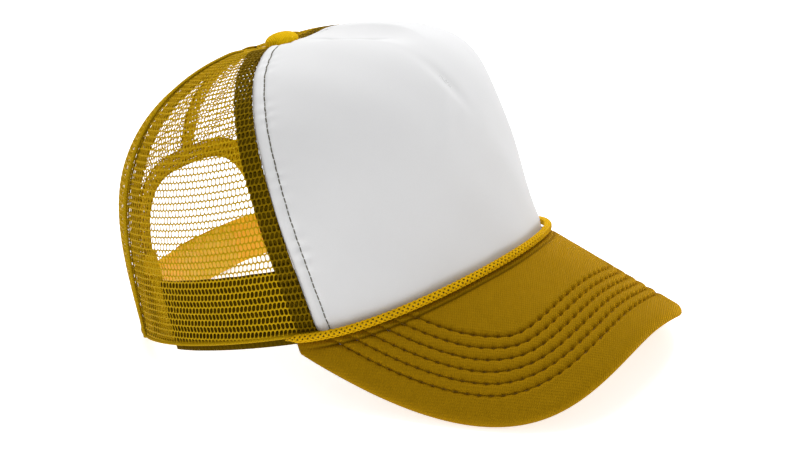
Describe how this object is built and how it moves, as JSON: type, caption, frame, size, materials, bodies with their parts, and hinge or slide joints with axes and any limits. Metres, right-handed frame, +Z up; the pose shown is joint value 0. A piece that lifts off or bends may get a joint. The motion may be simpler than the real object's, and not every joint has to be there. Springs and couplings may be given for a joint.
{
  "type": "baseball cap",
  "caption": "Trucker cap with a white foam front panel, mustard mesh back, curved visor with rope trim and a rear snap strap.",
  "frame": {"origin": "middle of the cap's footprint box, on the surface that the cap rests on", "axes": "+Z up, -Y towards the front of the visor, +X to the wearer's left; the cap rests nose-up by 12.4 degrees on the sides of its visor and the back of its rim"},
  "size_m": [0.1744, 0.249, 0.1336],
  "materials": {
    "white_fabric": "brushed polyester face",
    "white_foam": "open-cell foam",
    "mustard_mesh": "knitted open mesh",
    "doubled_mesh": "doubled knitted mesh",
    "sweatband_cloth": "ribbed cloth",
    "mustard_fabric": "fine twill knit",
    "braided_rope": "braided cord",
    "visor_board_plastic": "flexible polyethylene board",
    "button_metal": "pressed metal",
    "snap_plastic": "flexible moulded plastic"
  },
  "bodies": {
    "cap": {"front_panel_fabric": "white_fabric", "front_panel_foam": "white_foam", "side_mesh_left": "mustard_mesh", "side_mesh_right": "mustard_mesh", "rear_mesh_left": "mustard_mesh", "rear_mesh_right": "mustard_mesh", "front_seam_strip_left": "doubled_mesh", "front_seam_strip_right": "doubled_mesh", "side_seam_strip_left": "doubled_mesh", "side_seam_strip_right": "doubled_mesh", "back_seam_strip": "doubled_mesh", "arch_binding": "doubled_mesh", "sweatband": "sweatband_cloth", "rear_facing_left": "doubled_mesh", "rear_facing_right": "doubled_mesh", "visor_top_cover": "mustard_fabric", "visor_board": "visor_board_plastic", "visor_under_cover": "mustard_fabric", "visor_rope": "braided_rope", "button_cover": "mustard_fabric", "button_shell": "button_metal", "button_rivet": "button_metal", "stud_strap_tab": "snap_plastic", "hole_strap_tab": "snap_plastic"},
    "stud_strap_end": {"stud_strap": "snap_plastic"},
    "hole_strap_end": {"hole_strap": "snap_plastic"}
  },
  "joints": [
    {"name": "stud_strap_swing", "type": "hinge", "parent": "cap", "child": "stud_strap_end", "pos_m": [-0.03596, 0.11194, 0.01232], "axis": [-0.0003, 0.1612, 0.9869], "range_deg": [-50, 0]},
    {"name": "hole_strap_swing", "type": "hinge", "parent": "cap", "child": "hole_strap_end", "pos_m": [0.03596, 0.11194, 0.01232], "axis": [-0.0003, -0.1612, -0.9869], "range_deg": [0, 80]}
  ]
}
